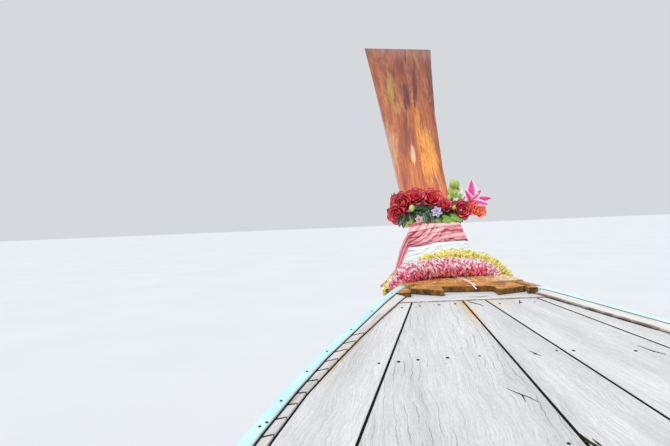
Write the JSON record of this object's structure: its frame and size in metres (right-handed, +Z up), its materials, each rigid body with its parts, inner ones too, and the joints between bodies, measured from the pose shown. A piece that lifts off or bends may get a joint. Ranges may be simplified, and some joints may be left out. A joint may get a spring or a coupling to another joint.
{
  "type": "longtail boat",
  "caption": "Planked wooden longtail boat afloat, with a raked dressed prow post, foredeck, benches, canopy and a tilting engine with a long tail shaft and propeller.",
  "frame": {"origin": "on the waterline, amidships, on the centre plane", "axes": "+X forward to the bow, +Y to port, +Z up"},
  "size_m": [12.4631, 1.98, 2.682],
  "materials": {
    "silvered_wood": "bare weathered deck planks",
    "aged_wood": "bare worn timber",
    "varnished_wood": "clear varnish over red-brown hardwood",
    "oiled_planking": "oiled dark hull planking",
    "aqua_paint": "worn pale aqua gloss paint",
    "white_paint": "worn white paint",
    "steel": "painted and rusted steel",
    "cast_iron": "green engine enamel",
    "bronze": "cast bronze",
    "pink_cloth": "faded satin ribbon cloth",
    "white_cloth": "plain white cotton",
    "yellow_garland": "ruffled plastic ribbon",
    "pink_garland": "ruffled plastic ribbon",
    "flowers": "dyed polyester flowers"
  },
  "bodies": {
    "hull": {"keel": "oiled_planking", "stem": "oiled_planking", "garboard_port": "oiled_planking", "garboard_starboard": "oiled_planking", "bilge_strake_port": "oiled_planking", "bilge_strake_starboard": "oiled_planking", "sheer_strake_port": "oiled_planking", "sheer_strake_starboard": "oiled_planking", "transom": "oiled_planking", "gunwale_port": "aqua_paint", "gunwale_starboard": "aqua_paint", "prow_post": "varnished_wood", "framing": "aged_wood", "deck_plank_1": "silvered_wood", "deck_plank_2": "silvered_wood", "deck_plank_3": "silvered_wood", "deck_plank_4": "silvered_wood", "deck_plank_5": "silvered_wood", "margin_port": "aged_wood", "margin_starboard": "aged_wood", "front_board": "silvered_wood", "deck_beams": "aged_wood", "breast_timber": "varnished_wood", "bench_1": "aged_wood", "bench_2": "aged_wood", "bench_3": "aged_wood", "bench_4": "aged_wood", "bench_5": "aged_wood", "floorboards": "aged_wood", "after_deck": "aged_wood", "canopy_post_port_1": "varnished_wood", "canopy_post_port_2": "varnished_wood", "canopy_post_port_3": "varnished_wood", "canopy_post_starboard_1": "varnished_wood", "canopy_post_starboard_2": "varnished_wood", "canopy_post_starboard_3": "varnished_wood", "canopy_frame": "varnished_wood", "canopy_roof": "white_paint", "engine_beam": "aged_wood", "swivel_socket": "steel", "sash_white": "white_cloth", "sash_pink": "pink_cloth", "garland_pink": "pink_garland", "garland_yellow": "yellow_garland", "flower_wreath": "flowers"},
    "swivel": {"swivel_yoke": "steel"},
    "engine": {"engine_cradle": "steel", "engine_block": "cast_iron", "cylinder_head": "cast_iron", "exhaust": "steel", "air_cleaner": "steel", "tiller": "steel", "tail_tube": "steel", "tail_skeg": "steel"},
    "propeller": {"propeller": "bronze"}
  },
  "joints": [
    {"name": "engine_swivel", "type": "hinge", "parent": "hull", "child": "swivel", "pos_m": [-4.25, 0, 0.75], "axis": [0, 0, 1], "range_deg": [-45, 45]},
    {"name": "engine_tilt", "type": "hinge", "parent": "swivel", "child": "engine", "pos_m": [-4.25, 0, 1], "axis": [0, 1, 0], "range_deg": [-15, 8]},
    {"name": "propeller_spin", "type": "hinge", "parent": "engine", "child": "propeller", "pos_m": [-7.45352, 0, 0.54977], "axis": [0.9903, 0, 0.1392], "continuous": true}
  ]
}
